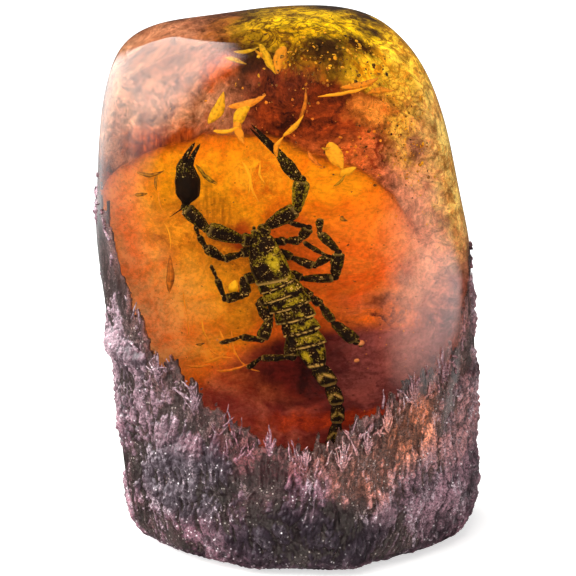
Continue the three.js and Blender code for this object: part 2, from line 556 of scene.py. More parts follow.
def pour_point(turn, level):
    """A point of the pour's skin: flat behind the scorpion, and round towards the back."""
    along, across = math.cos(turn), math.sin(turn)
    closing = math.sqrt(max(0.0, 1 - ramp(level, 68, POUR_LEVELS[1]) ** 2 * 0.999))
    side = skin_at(0 if along > 0 else math.pi, min(level, 77.5))[0]
    back = skin_at(math.pi / 2, min(level, 77.5))[0]
    reach = max(1.0, abs(side.x - CORE.x) - POUR_GAP["side"])
    depth = max(1.0, back.y - POUR_GAP["back"] - POUR_FRONT)
    x = CORE.x + reach * math.copysign(abs(along) ** 0.85, along) * closing
    if across > 0:
        y = POUR_FRONT + depth * across ** 0.8 * closing
    else:
        y = POUR_FRONT
    place = Vector((x, y, level))
    if across <= 0:
        off = math.hypot(x - WINDOW_CENTRE[0], level - WINDOW_CENTRE[1]) - WINDOW_RADIUS
        above = ramp(off + 0.8 * noise.noise(place / 2.5), -0.4, 0.5) * ramp(level, 46, 52)
        swell = 1.1 * noise.noise(place / 9) + 0.35 * noise.noise(place / 2.6)
        place.y += (swell - 1.6 * above) * ramp(-across, 0, 0.25)
    return place


def pour_cloud():
    points = []
    for row in range(POUR_ROWS + 1):
        level = mix(*POUR_LEVELS, row / POUR_ROWS)
        for column in range(POUR_COLUMNS):
            points.append(pour_point(FULL_TURN * column / POUR_COLUMNS, level) * MM)
    faces = []
    for row in range(POUR_ROWS):
        for column in range(POUR_COLUMNS):
            a = row * POUR_COLUMNS + column
            b = row * POUR_COLUMNS + (column + 1) % POUR_COLUMNS
            faces.append((a, b, b + POUR_COLUMNS, a + POUR_COLUMNS))
    top = POUR_ROWS * POUR_COLUMNS
    faces.append(tuple(reversed(range(POUR_COLUMNS))))
    faces.append(tuple(range(top, top + POUR_COLUMNS)))
    mesh = bpy.data.meshes.new("cloudy_pour")
    mesh.from_pydata(points, [], faces)
    mesh.polygons.foreach_set("use_smooth", [True] * len(mesh.polygons))
    piece = new_piece("cloudy_pour", mesh, cloudy_resin())
    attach(piece, "root")


# The dyes, and the patches of painted light, shade and reflection noted at each, in the order in which
# they lie over each other: where each lies across the face, as the middle and the reach of an oval in mm,
# how soft its edge is, what bends that edge, the pattern in it, and the two colours of that pattern.
DOME_DYES_AND_PAINTED_LIGHT = [
    # Partly painted reflection: the peach in this dye stands for the haze of the lit cloth on the left.
    ((-17, 69), (12, 10), 0.35, "frayed", "wisps", "#946048", "#d4a488"),
    ((-14, 77), (8, 4.5), 0.4, "frayed", "wisps", "#381a0e", "#a4622e"),
    ((-13.5, 73.5), (6.5, 2.6), 0.7, "frayed", "wisps", "#8a543c", "#c48c70"),
    ((-7, 78), (5, 3.4), 0.5, "frayed", "wisps", "#34190c", "#a8672c"),
    ((-15, 62.5), (7, 3.2), 0.4, "frayed", "fibres", "#70280f", "#b4561f"),
    ((-4.5, 73.5), (3.4, 3.6), 0.5, "frayed", "wisps", "#170d08", "#4a2a16"),
    # Painted glint: a bright orange spot in the dome.
    ((-9, 71.5), (2.6, 2.2), 0.5, "frayed", "wisps", "#a8481a", "#dc7a3c"),
    ((10, 62.5), (8, 7), 0.5, "frayed", "wisps", "#8e3410", "#fc944c"),
    ((15.5, 57.5), (6, 9), 0.5, "frayed", "wisps", "#3c1a18", "#d88c74"),
    ((3.4, 67), (8.6, 4.8), 0.5, "frayed", "wisps", "#1e0805", "#9c4418"),
    ((9, 79), (15, 6.8), 0.35, "frayed", "strands", "#745008", "#ffdc08"),
    ((10.5, 72), (4.4, 2.4), 0.5, "frayed", "strands", "#dc9e0c", "#ffe430"),
    ((19, 68), (8, 12), 0.3, "frayed", "strands", "#c88c20", "#ffdc48"),
    ((20.5, 57), (4.4, 9), 0.5, "frayed", "wisps", "#e0a45c", "#ffe4a8"),
    ((4.8, 73.6), (2.8, 2.0), 0.6, "frayed", "wisps", "#140e06", "#4c3412"),
    ((9.2, 74.6), (1.6, 1.5), 0.6, "frayed", "wisps", "#1c1206", "#5c3c10"),
    ((10, 67), (3.0, 2.0), 0.6, "frayed", "wisps", "#b8601c", "#ffb450"),
    ((16.5, 62.5), (1.4, 1.8), 0.6, "frayed", "wisps", "#38200e", "#7c4c1c"),
]
WINDOW_DYES_AND_PAINTED_LIGHT = [
    ((-5, 57), (14, 8.5), 0.5, "bent", "veils", "#f28c0a", "#ffba18"),
    ((-12.5, 46), (6.5, 13), 0.6, "bent", "veils", "#ecb008", "#ffd81c"),
    ((-9.5, 47), (3.6, 10), 0.6, "frayed", "fibres", "#a4660c", "#f4b01c"),
    ((-13, 50), (3.5, 5), 0.6, "frayed", "wisps", "#b86c10", "#f8b42c"),
    # Painted shade: amber brown between the left legs.
    ((-6, 42), (5, 8), 0.5, "frayed", "wisps", "#a0600e", "#f4b020"),
    ((-8.5, 43), (0.9, 5), 0.5, "frayed", "wisps", "#5c2c0c", "#b87014"),
    # Painted shade: a red-brown shadow under the left arm, between the legs.
    ((-6.5, 49), (2.6, 2), 0.5, "frayed", "veils", "#8a3a10", "#bc5c18"),
    ((-14.5, 42), (1.3, 6), 0.6, "frayed", "wisps", "#8a4c10", "#e89c28"),
    ((-11.5, 38), (1.1, 7), 0.6, "frayed", "wisps", "#8c4a0e", "#f4ac24"),
    ((-3, 58), (3, 3.6), 0.6, "frayed", "wisps", "#d8780c", "#ffc428"),
    ((0.5, 50), (3.5, 3.5), 0.5, "frayed", "veils", "#a84a14", "#e07a1c"),
    # Painted reflection: the pinkish haze of the lit cloth on the left.
    ((-22, 42), (6, 17), 0.6, "bent", "veils", "#f88c50", "#ffb078"),
    ((-10, 37), (5.5, 7.5), 0.6, "bent", "veils", "#dc9410", "#ffc42c"),
    ((12, 44), (8, 9), 0.6, "bent", "veils", "#ea701e", "#ff9c3c"),
    # Painted light: made pale to light up the pour where the rind shades it.
    ((-15.5, 36), (6.5, 7.5), 0.6, "frayed", "veils", "#ff983c", "#ffc064"),
    ((12, 36.5), (6.5, 4), 0.5, "frayed", "wisps", "#4a1c20", "#d08060"),
    ((14.5, 42), (3, 3.4), 0.6, "frayed", "wisps", "#6c3030", "#b47464"),
]
WINE_DYES = [
    ((-5.5, 27), (6, 7), 0.5, "bent", "veils", "#cc5028", "#ffa060"),
    ((-5, 21), (9, 4.5), 0.6, "bent", "veils", "#9c444c", "#e08880"),
    ((2, 30), (7.5, 6), 0.5, "frayed", "veils", "#340c10", "#782624"),
    ((13, 28), (8, 9), 0.5, "frayed", "wisps", "#5c2c3c", "#ac6878"),
    ((6, 21.5), (9, 1.2), 0.7, "frayed", "wisps", "#7a2414", "#e8602c"),
]
# Veils over the rest near the sides: mauve milkiness and yellow strands of the casting, and two pale ones of
# painted light, noted below.
SIDE_VEILS_AND_PAINTED_LIGHT = [
    # Painted highlight: a pale pink band where the right side catches the light.
    ((18, 46), (5.5, 15), 0.9, "bent", "veils", "#d08c7c", "#fcc4b0"),
    ((21, 40), (3.5, 6), 0.9, "bent", "veils", "#9c6460", "#cc988c"),
    ((19, 30), (5, 8), 0.9, "bent", "veils", "#8a5058", "#c08084"),
    ((22.5, 60), (4.5, 13), 0.6, "frayed", "strands", "#cc9444", "#ffe888"),
    # Painted light: pale peach where the rind shades the pour, with the reflected haze there.
    ((-21, 33), (6, 10), 0.8, "bent", "veils", "#ff9c64", "#ffcca0"),
]


def lay_patches_over(tree, colour, dyes, bends, patterns):
    """Lays the patches of dye and of painted light over a colour, one after another."""
    for centre, reach, soft, bend, pattern, dark, light in dyes:
        inside = patch(tree, bends[bend], centre, reach, soft)
        dye = add(tree, "Mix", {"data_type": "RGBA", 6: srgb(dark), 7: srgb(light)}, {
            0: patterns[pattern]})
        over = add(tree, "Mix", {"data_type": "RGBA"}, {0: inside, 6: colour, 7: dye.outputs[2]})
        colour = over.outputs[2]
    return colour


def cloudy_resin():
    # Resin clouded by dyes that were stirred into it and set before they had mixed: an orange
    # window under a dark brown dome, mustard at the crown, and wine red below. The window's brightness
    # is partly painted light from behind, and some patches paint in shade, reflected haze and glints.
    material, tree = new_material("dye_clouded_resin_with_painted_light")
    place = place_in_mm(tree)
    # Slow currents bend every border by a few mm, and fast ones by a fraction of one.
    slow = add(tree, "TexNoise", {"Scale": 1 / 12, "Detail": 3.0}, {"Vector": place})
    fast = add(tree, "TexNoise", {"Scale": 1 / 2.2, "Detail": 6.0, "Roughness": 0.65}, {"Vector": place})
    drift = add(tree, "VectorMath", {"operation": "MULTIPLY_ADD", 1: (5, 5, 5), 2: (-2.5, -2.5, -2.5)}, {
        0: slow.outputs["Color"]})
    curl = add(tree, "VectorMath", {"operation": "MULTIPLY_ADD", 1: (5, 5, 5), 2: (-2.5, -2.5, -2.5)}, {
        0: fast.outputs["Color"]})
    bent = add(tree, "VectorMath", {"operation": "ADD"}, {0: place, 1: drift})
    frayed = add(tree, "VectorMath", {"operation": "ADD"}, {0: bent, 1: curl})
    edged = add(tree, "VectorMath", {"operation": "MULTIPLY_ADD", 1: (0.2, 0.2, 0.2)}, {
        0: curl, 2: place})
    bends = {"bent": bent, "frayed": frayed, "edged": edged}

    # The patterns: wisps a few mm long, thin veils, fine specks and upright fibres.
    upright = add(tree, "Mapping", {"Scale": (1 / 0.5, 1 / 0.5, 1 / 3.5)}, {"Vector": place})
    noises = {
        "wisps": ({"Scale": 1 / 3.0, "Detail": 7.0, "Roughness": 0.72, "Distortion": 0.8}, bends["frayed"]),
        "veils": ({"Scale": 1 / 4.5, "Detail": 7.0, "Roughness": 0.7, "Distortion": 0.5}, bends["bent"]),
        "specks": ({"Scale": 1 / 1.2, "Detail": 5.0, "Roughness": 0.7}, place),
        "fibres": ({"Scale": 1.0, "Detail": 5.0}, upright.outputs["Vector"]),
    }
    patterns = {}
    for name, (settings, at) in noises.items():
        cloud = add(tree, "TexNoise", settings, {"Vector": at})
        spread = add(tree, "MapRange", {"From Min": 0.38, "From Max": 0.62}, {"Value": cloud})
        patterns[name] = spread.outputs["Result"]
    # Strands: dark threads that wander where a noise passes through its middle value.
    tangle = add(tree, "TexNoise", {"Scale": 1 / 2.6, "Detail": 4.0, "Distortion": 1.2}, {"Vector": place})
    off = add(tree, "Math", {"operation": "SUBTRACT", 1: 0.5}, {0: tangle})
    near = add(tree, "Math", {"operation": "ABSOLUTE"}, {0: off})
    thread = add(tree, "MapRange", {"From Min": 0.0, "From Max": 0.07}, {"Value": near})
    strands = add(tree, "Math", {"operation": "MULTIPLY"}, {
        0: thread, 1: patterns["wisps"]})
    lifted = add(tree, "MapRange", {"From Max": 0.55}, {"Value": strands})
    patterns["strands"] = lifted.outputs["Result"]

    dome = add(tree, "Mix", {"data_type": "RGBA", 6: srgb("#36120a"), 7: srgb("#94401a")}, {
        0: patterns["wisps"]})
    colour = lay_patches_over(tree, dome.outputs[2], DOME_DYES_AND_PAINTED_LIGHT, bends, patterns)

    # Painted light: the window's bright orange is partly dye and partly the glow of light from behind.
    window = add(tree, "Mix", {"data_type": "RGBA", 6: srgb("#e06818"), 7: srgb("#f88e22")}, {
        0: patterns["veils"]})
    glow = lay_patches_over(tree, window.outputs[2], WINDOW_DYES_AND_PAINTED_LIGHT, bends, patterns)
    inside = patch(tree, bends["edged"], WINDOW_CENTRE, (WINDOW_RADIUS, WINDOW_RADIUS), 0.04)
    colour = add(tree, "Mix", {"data_type": "RGBA"}, {0: inside, 6: colour, 7: glow}).outputs[2]

    wine = add(tree, "Mix", {"data_type": "RGBA", 6: srgb("#47101a"), 7: srgb("#8c241a")}, {
        0: patterns["veils"]})
    depth = lay_patches_over(tree, wine.outputs[2], WINE_DYES, bends, patterns)
    well = patch(tree, bends["edged"], WELL_CENTRE, WELL_REACH, 0.06)
    # Where the red meets the window, it drags out bright orange strings.
    border = add(tree, "MapRange", {"From Min": 0.0, "From Max": 0.35}, {"Value": patch(
        tree, bends["frayed"], WELL_CENTRE, (WELL_REACH[0] + 1.6, WELL_REACH[1] + 1.6), 0.08)})
    strings = add(tree, "Math", {"operation": "MULTIPLY"}, {
        0: border, 1: patterns["wisps"]})
    colour = add(tree, "Mix", {"data_type": "RGBA", 7: srgb("#f58424")}, {
        0: strings, 6: colour}).outputs[2]
    colour = add(tree, "Mix", {"data_type": "RGBA"}, {0: well, 6: colour, 7: depth}).outputs[2]

    colour = lay_patches_over(tree, colour, SIDE_VEILS_AND_PAINTED_LIGHT, bends, patterns)

    # Fine cloudiness: faint in the window and the red, crumpled and strong in the dome.
    crumpling = {"Scale": 1 / 1.7, "Detail": 8.0, "Roughness": 0.75, "Distortion": 0.7}
    crumple = add(tree, "TexNoise", crumpling, {
        "Vector": bends["bent"]})
    strong = add(tree, "MapRange", {"From Min": 0.36, "From Max": 0.62, "To Min": 0.4, "To Max": 1.5}, {
        "Value": crumple})
    faint = add(tree, "MapRange", {"From Min": 0.36, "From Max": 0.62, "To Min": 0.78, "To Max": 1.14}, {
        "Value": crumple})
    calm = add(tree, "Math", {"operation": "MAXIMUM"}, {0: inside, 1: well})
    shade = add(tree, "Mix", None, {0: calm, 2: strong, 3: faint})
    grit = add(tree, "TexVoronoi", {"Scale": 1 / 1.7, "Randomness": 1.0}, {"Vector": place})
    spots = add(tree, "MapRange", {"From Min": 0.04, "From Max": 0.1, "To Min": 0.4}, {
        "Value": grit})
    spotted = add(tree, "Math", {"operation": "MULTIPLY"}, {
        0: shade, 1: spots})
    dust = add(tree, "TexNoise", {"Scale": 1 / 0.45, "Detail": 3.0, "Roughness": 0.7}, {"Vector": place})
    dusty = add(tree, "MapRange", {"From Min": 0.34, "From Max": 0.6, "To Min": 0.8, "To Max": 1.13}, {
        "Value": dust})
    dulled = add(tree, "Math", {"operation": "MULTIPLY"}, {
        0: spotted, 1: dusty})
    colour = add(tree, "Mix", {"data_type": "RGBA", "blend_type": "MULTIPLY", 0: 1.0}, {
        6: colour, 7: dulled}).outputs[2]

    bump = add(tree, "Bump", {"Strength": 0.5, "Distance": 0.3 * MM}, {"Height": fast})
    close_material(
        tree, {"Roughness": 0.5, "IOR": 1.54, "Specular IOR Level": 0.05},
        {"Base Color": colour, "Normal": bump},
    )
    return material


# ---------------------------------------------------------------- the scorpion

# Places on the scorpion are (right, up) in mm across the face. Its trunk lies at this depth, and a
# lift brings a point nearer to the face.
SPECIMEN_DEPTH = -4.0

CARAPACE_LINE = [(-3.2, 51.0), (-2.4, 47.8), (-1.3, 44.3)]
BACK_LINE = [(-1.5, 44.8), (-0.2, 42.5), (0.8, 40.4), (1.6, 38.3), (2.4, 36.2), (3.2, 34.0), (4.0, 31.4)]
TAIL_LINE = [
    (4.0, 31.6), (5.3, 28.6), (6.0, 25.8), (6.1, 23.2), (5.7, 20.4), (4.9, 17.6), (3.7, 15.2), (2.2, 13.4),
]
# The length and the half-width of each back plate, from the first to the seventh.
BACK_PLATES = [(1.2, 2.6), (1.5, 2.8), (1.8, 2.85), (2.0, 2.65), (2.1, 2.4), (2.2, 2.15), (2.8, 1.9)]
# The same for each tail joint.
TAIL_JOINTS = [(2.5, 0.92), (2.6, 0.74), (2.7, 0.66), (3.1, 0.6), (3.6, 0.54)]
TRUNK_ROLL = math.radians(14)

# Each claw arm: points of (right, up, lift), and the half-width and mottling of each of its joints.
LEFT_ARM = [(-4.0, 50.2, -0.5), (-5.6, 50.3, 0.1), (-10.3, 52.0, 0.5), (-13.3, 55.0, 0.3)]
LEFT_ARM_JOINTS = [(1.0, 0.15), (1.12, 0.16), (1.0, 0.08)]
RIGHT_ARM = [(-3.2, 51.0, -0.3), (-2.4, 52.3, 0.1), (1.5, 55.1, 0.6), (2.1, 59.3, 0.5)]
RIGHT_ARM_JOINTS = [(0.9, 0.2), (1.1, 0.1), (1.0, 0.32)]
# Each leg: where it leaves the trunk and each joint after that, as (right, up, lift, half-width).
LEGS = [
    [(-1.6, 49.7, -1.1, 0.4), (0.2, 50.0, -0.6, 0.5), (1.9, 50.2, -0.2, 0.5), (3.0, 52.3, 0.4, 0.58),
     (0.6, 52.8, -0.2, 0.32), (-1.3, 52.8, -0.5, 0.22)],
    [(-0.8, 48.4, -1.1, 0.4), (1.0, 47.5, -0.6, 0.5), (3.7, 46.5, 0.1, 0.5), (5.1, 47.9, 0.2, 0.44),
     (2.3, 50.0, -0.3, 0.28)],
    [(0.4, 45.2, -1.2, 0.4), (2.2, 44.5, -0.6, 0.52), (5.8, 44.7, 0.1, 0.52), (6.1, 48.6, 0.4, 0.54),
     (4.2, 51.4, -0.1, 0.42), (4.2, 53.4, -0.4, 0.28)],
    [(1.4, 43.2, -1.3, 0.4), (3.4, 41.7, -0.7, 0.52), (4.4, 40.6, -0.4, 0.44), (5.6, 38.1, 0.0, 0.38),
     (8.1, 35.0, 0.3, 0.62), (8.7, 34.2, 0.1, 0.16)],
    [(-3.4, 48.7, -1.3, 0.4), (-5.6, 48.0, -0.7, 0.58), (-8.0, 47.4, 0.0, 0.46), (-10.4, 49.2, 0.3, 0.58),
     (-11.3, 50.8, 0.0, 0.36), (-11.8, 52.3, -0.3, 0.24)],
    [(-2.4, 44.8, -1.4, 0.4), (-5.2, 44.2, -0.8, 0.66), (-4.9, 42.1, -0.5, 0.58), (-7.7, 41.5, 0.2, 0.56),
     (-8.8, 44.6, 0.0, 0.34), (-9.6, 46.4, -0.4, 0.22)],
    [(-1.0, 41.8, -1.4, 0.4), (-3.2, 40.5, -0.8, 0.66), (-1.8, 38.3, -0.4, 0.64), (-2.9, 35.5, 0.3, 0.66),
     (-5.5, 35.8, 0.1, 0.42), (-8.2, 34.6, -0.4, 0.26)],
    [(0.8, 38.8, -1.3, 0.4), (1.1, 36.7, -0.6, 0.72), (1.0, 32.9, 0.3, 0.8), (-3.0, 32.6, 0.1, 0.42),
     (-4.6, 30.9, -0.3, 0.3)],
]


class Clay:
    """Points and faces in mm, modelled part by part. Each point carries two named marks, 0 to 1."""

    def __init__(self, *names):
        self.names = names
        self.points, self.faces, self.marks = [], [], []

    def put(self, place, marks):
        self.points.append(place)
        self.marks.append(marks)
        return len(self.points) - 1

    def loft(self, rings, marks):
        """A closed skin through rings of points. Marks has a list of pairs for each ring."""
        count = len(rings[0])
        first = len(self.points)
        for ring, pairs in zip(rings, marks):
            for place, pair in zip(ring, pairs):
                self.put(place, pair)
        for row in range(len(rings) - 1):
            for i in range(count):
                a = first + row * count + i
                b = first + row * count + (i + 1) % count
                self.faces.append((a, b, b + count, a + count))
        for row, turned in ((0, True), (len(rings) - 1, False)):
            middle = sum(rings[row], Vector()) / count
            centre = self.put(middle, marks[row][0])
            for i in range(count):
                a = first + row * count + i
                b = first + row * count + (i + 1) % count
                self.faces.append((centre, b, a) if turned else (centre, a, b))

    def piece(self, name, material, slot):
        mesh = bpy.data.meshes.new(name)
        mesh.from_pydata([place * MM for place in self.points], [], self.faces)
        for mark, values in zip(self.names, zip(*self.marks)):
            mesh.attributes.new(mark, "FLOAT", "POINT").data.foreach_set("value", values)
        work = bmesh.new()
        work.from_mesh(mesh)
        bmesh.ops.recalc_face_normals(work, faces=work.faces)
        work.to_mesh(mesh)
        work.free()
        mesh.polygons.foreach_set("use_smooth", [True] * len(mesh.polygons))
        made = new_piece(name, mesh, material)
        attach(made, "root")
        return made


def laid(right, up, lift=0.0):
    return Vector((right, SPECIMEN_DEPTH - lift, up))


def along(points, share):
    """A point of the smooth line through the points, and the way the line runs there."""
    spans = len(points) - 1
    reach = min(max(share, 0.0), 1.0) * spans
    i = min(int(reach), spans - 1)
    t = reach - i
    here, there = points[i], points[i + 1]
    before = points[i - 1] if i > 0 else here * 2 - there
    after = points[i + 2] if i + 2 <= spans else there * 2 - here
    place = 0.5 * (
        2 * here + (there - before) * t
        + (2 * before - 5 * here + 4 * there - after) * t ** 2
        + (3 * here - 3 * there + after - before) * t ** 3
    )
    runs = 0.5 * (
        (there - before) + 2 * (2 * before - 5 * here + 4 * there - after) * t
        + 3 * (3 * here - 3 * there + after - before) * t ** 2
    )
    return place, runs.normalized()


def stand_across(runs, roll=0.0):
    """The two ways across a line that runs this way: sideways, and up off the specimen's plane."""
    side = runs.cross(Vector((0, -1, 0))).normalized()
    up = side.cross(runs).normalized()
    if up.y > 0:
        side, up = -side, -up
    turn = Matrix.Rotation(roll, 3, runs)
    return turn @ side, turn @ up


def limb(clay, start, end, width, mottle, sides=16, keels=5, slim=0.62, flat=0.85):
    """One joint of a leg or an arm: narrow at its root, fuller towards its end, and keeled."""
    rings, marks = [], []
    runs = (end - start).normalized()
    side, up = stand_across(runs)
    steps = 14
    for step in range(steps + 1):
        share = step / steps
        ends = math.sqrt(max(0.0, 1 - abs(2 * share - 1) ** 7))
        swell = mix(slim, 1.0, ramp(share, 0, 0.7)) * (0.3 + 0.7 * ends)
        centre = start.lerp(end, share)
        ring, pairs = [], []
        for i in range(sides):
            turn = FULL_TURN * i / sides
            keel = 1 + 0.08 * math.cos(keels * turn) * ends
            place = centre + width * swell * keel * (side * math.cos(turn) + up * flat * math.sin(turn))
            ring.append(place + 0.11 * noise.noise_vector(place / 0.4))
            # Painted highlight: the joint is paler along its two side edges, as if they caught the light.
            edge = 0.3 * ramp(abs(math.cos(turn)), 0.45, 0.75)
            knuckle = 0.35 * ramp(share, 0.9, 0.97) * ramp(math.sin(turn), 0.0, 0.6)
            pairs.append((min(1, mottle + edge * (mottle > 0)), knuckle))
        rings.append(ring)
        marks.append(pairs)
    clay.loft(rings, marks)


def ball(clay, centre, reach, mottle, rim=0.0):
    rings, marks = [], []
    for row in range(1, 8):
        lift = math.pi * row / 8
        rings.append([
            centre + reach * Vector((
                math.sin(lift) * math.cos(FULL_TURN * i / 12), math.cos(lift),
                math.sin(lift) * math.sin(FULL_TURN * i / 12)))
            for i in range(12)])
        marks.append([(mottle, rim)] * 12)
    clay.loft(rings, marks)


def carapace(clay):
    """The head shield: narrow in front, domed, with furrows, two middle eyes and side eyes."""
    line = [laid(*point) for point in CARAPACE_LINE]
    rings, marks = [], []
    steps, sides = 40, 72
    for step in range(steps + 1):
        share = step / steps
        centre, runs = along(line, share)
        side, up = stand_across(runs, TRUNK_ROLL)
        width = mix(1.5, 2.5, ramp(share, -0.1, 0.75)) * mix(0.75, 1, ramp(share, 0, 0.1))
        height = mix(0.5, 1.3, ramp(share, -0.1, 0.6)) * mix(0.7, 1, ramp(share, 0, 0.12))
        ring, pairs = [], []
        for i in range(sides):
            turn = FULL_TURN * i / sides
            across, over = math.cos(turn), math.sin(turn)
            deep = height if over > 0 else 0.9
            place = centre + side * width * math.copysign(abs(across) ** 0.8, across) + up * deep * over
            top = ramp(over, 0.1, 0.5)
            furrow = -0.24 * math.exp(-(across / 0.1) ** 2) * ramp(share, 0.45, 0.7)
            mound = 0.3 * math.exp(-(across / 0.17) ** 2 - ((share - 0.38) / 0.12) ** 2)
            keels = 0.1 * math.cos(FULL_TURN * 1.6 * across) * ramp(share, 0.1, 0.4)
            rear = 0.16 * ramp(share, 0.9, 0.95) - 0.1 * ramp(share, 0.78, 0.88)
            grit = 0.12 * noise.noise(place / 0.26) + 0.14 * noise.noise(place / 0.7)
            ring.append(place + up * top * (furrow + mound + keels + rear + grit))
            flush = math.exp(-((place.x + 1.6) / 0.7) ** 2 - ((place.z - 47.5) / 1.4) ** 2)
            eye = math.exp(-((place.x + 1.6) / 0.25) ** 2 - ((place.z - 47.7) / 0.4) ** 2)
            band = 0.25 * ramp(abs(across), 0.75, 0.95)
            streak = 0.4 * ramp(noise.noise(Vector((across * 2.5, share * 5, 3.3))), -0.1, 0.25)
            mottle = 0.06 + (1.1 * flush - 1.2 * eye + streak) * top + band + 0.25 * (1 - top)
            # The pale rear rim is partly painted highlight.
            pairs.append((min(1, max(0, mottle)), 0.4 * ramp(share, 0.94, 0.97) * top))
        rings.append(ring)
        marks.append(pairs)
    clay.loft(rings, marks)
    centre, runs = along(line, 0.38)
    side, up = stand_across(runs, TRUNK_ROLL)
    for reach in (-0.3, 0.3):
        ball(clay, centre + up * 1.36 + side * reach, 0.2, 0.0)
    front, runs = along(line, 0.06)
    for reach in (-1.3, -1.05, 1.05, 1.3):
        ball(clay, front + side * reach + up * 0.35, 0.11, 0.9, 0.5)
    for reach in (-0.55, 0.55):
        root = front + side * reach + up * 0.1
        limb(clay, root, root - runs * 1.4, 0.52, 0.35, sides=12)
        for spread in (-0.14, 0.14):
            tip = root - runs * 1.3 + side * spread
            limb(clay, tip, tip - runs * 0.6 - side * spread * 0.6, 0.15, 0.2, sides=8)


def back_plates(clay):
    """The seven back plates, each with its raised rear edge over the next, and the soft flanks."""
    line = [laid(*point) for point in BACK_LINE]
    whole = sum(length for length, _ in BACK_PLATES)
    rings, marks = [], []
    steps, sides = 12, 80
    start = 0.0
    for plate, (length, width) in enumerate(BACK_PLATES):
        for step in range(steps + 1):
            share = step / steps
            centre, runs = along(line, (start + length * share) / whole)
            side, up = stand_across(runs, TRUNK_ROLL)
            # Each plate is narrower where it slides under the one before it.
            wide = width * mix(0.9, 1.0, ramp(share, 0, 0.7))
            if plate == 6:
                wide = mix(width * 0.95, 0.95, share ** 1.6)
            high = wide * 0.5
            ring, pairs = [], []
            for i in range(sides):
                turn = FULL_TURN * i / sides
                across, over = math.cos(turn), math.sin(turn)
                place = centre + side * wide * math.copysign(abs(across) ** 0.85, across) + up * high * over
                top = ramp(over, 0.05, 0.3)
                lap = mix(-0.26, 0.12, share ** 0.7) + 0.1 * ramp(share, 0.82, 0.9)
                ridge = 0.14 * math.exp(-(across / 0.07) ** 2) * ramp(share, 0.2, 0.7)
                beads = (0.08 * noise.noise(place / 0.25) + 0.1 * noise.noise(place / 0.6)) * (share < 0.84)
                pleat = 0.12 * (1 - top) * math.sin(3 * FULL_TURN * share)
                ring.append(place + (up + 0.35 * side * across) * (top * (lap + ridge + beads) + pleat))
                cell = noise.noise(Vector((across * 2.2, plate * 3.1, share)))
                blotch = ramp(cell + 0.35 * math.exp(-((across - 0.2) / 0.5) ** 2), -0.15, 0.3)
                middle = ramp(share, 0.1, 0.25) * (1 - ramp(share, 0.7, 0.8))
                last = (plate == 6) * math.exp(-((across - 0.4) / 0.3) ** 2 - ((share - 0.4) / 0.22) ** 2)
                mottle = 0.16 + top * 0.48 * blotch * middle + last + 0.45 * (1 - top)
                # The pale rear edge of each plate is partly its straw rim and partly painted highlight where
                # the raised edge catches the light.
                edge = ramp(share, 0.86, 0.9) * (1 - ramp(share, 0.92, 0.97)) * top
                edge *= ramp(noise.noise(Vector((across * 5, plate * 5.3, 0))), -0.3, 0.15)
                pairs.append((min(1, mottle), 0.7 * edge))
            rings.append(ring)
            marks.append(pairs)
        start += length
    clay.loft(rings, marks)


def tail(clay):
    """Five keeled tail joints, and the bulb with its sting."""
    line = [laid(*point) for point in TAIL_LINE]
    whole = sum(length for length, _ in TAIL_JOINTS) + 2.6
    start = 0.0
    for length, width in TAIL_JOINTS:
        rings, marks = [], []
        steps, sides = 12, 40
        for step in range(steps + 1):
            share = step / steps
            centre, runs = along(line, (start + length * share) / whole)
            side, up = stand_across(runs)
            swell = mix(0.72, 1.0, ramp(share, 0.0, 0.3)) * mix(1.0, 0.7, ramp(share, 0.86, 1.0))
            ring, pairs = [], []
            for i in range(sides):
                turn = FULL_TURN * i / sides + math.pi / 8
                keel = 1 + 0.12 * abs(math.cos(4 * turn)) ** 3
                reach = width * swell * keel
                place = centre + reach * (side * math.cos(turn) + up * 0.9 * math.sin(turn))
                ring.append(place + 0.07 * noise.noise_vector(place / 0.28))
                # Pale chevrons on the upper side, and a pale rear edge that is partly painted highlight.
                chevron = math.exp(-((share - 0.35 - 0.35 * abs(math.cos(turn))) / 0.07) ** 2)
                upper = ramp(math.sin(turn), 0.1, 0.4)
                rear = ramp(share, 0.88, 0.94)
                mottle = 0.12 + 0.28 * upper * ramp(share, 0.2, 0.4) * (1 - ramp(share, 0.6, 0.8))
                striped = 0.6 * chevron * ramp(abs(math.cos(turn)), 0.05, 0.2)
                pairs.append((mottle, upper * max(striped, 0.5 * rear)))
            rings.append(ring)
            marks.append(pairs)
        clay.loft(rings, marks)
        start += length
    rings, marks = [], []
    for step in range(17):
        share = step / 16
        centre, runs = along(line, (start + 2.6 * share) / whole)
        side, up = stand_across(runs)
        bulb = 0.85 * math.sin(math.pi * min(1, share / 0.62 + 0.12)) if share < 0.56 else 0.0
        reach = max(bulb, mix(0.32, 0.03, ramp(share, 0.5, 1.0)))
        hook = up * 0.9 * ramp(share, 0.5, 1.0) ** 2
        rings.append([
            centre + hook + reach * (side * math.cos(FULL_TURN * i / 24) + up * math.sin(FULL_TURN * i / 24))
            for i in range(24)])
        marks.append([(0.3, 0.0)] * 24)
    clay.loft(rings, marks)


def claw_arm(clay, points, joints):
    """The three arm joints up to the hand."""
    places = [laid(*point) for point in points]
    for (start, end), (width, mottle) in zip(zip(places, places[1:]), joints):
        limb(clay, start, end, width, mottle, sides=24, keels=6, slim=0.7)
        ball(clay, end, width * 0.62, 0.4)


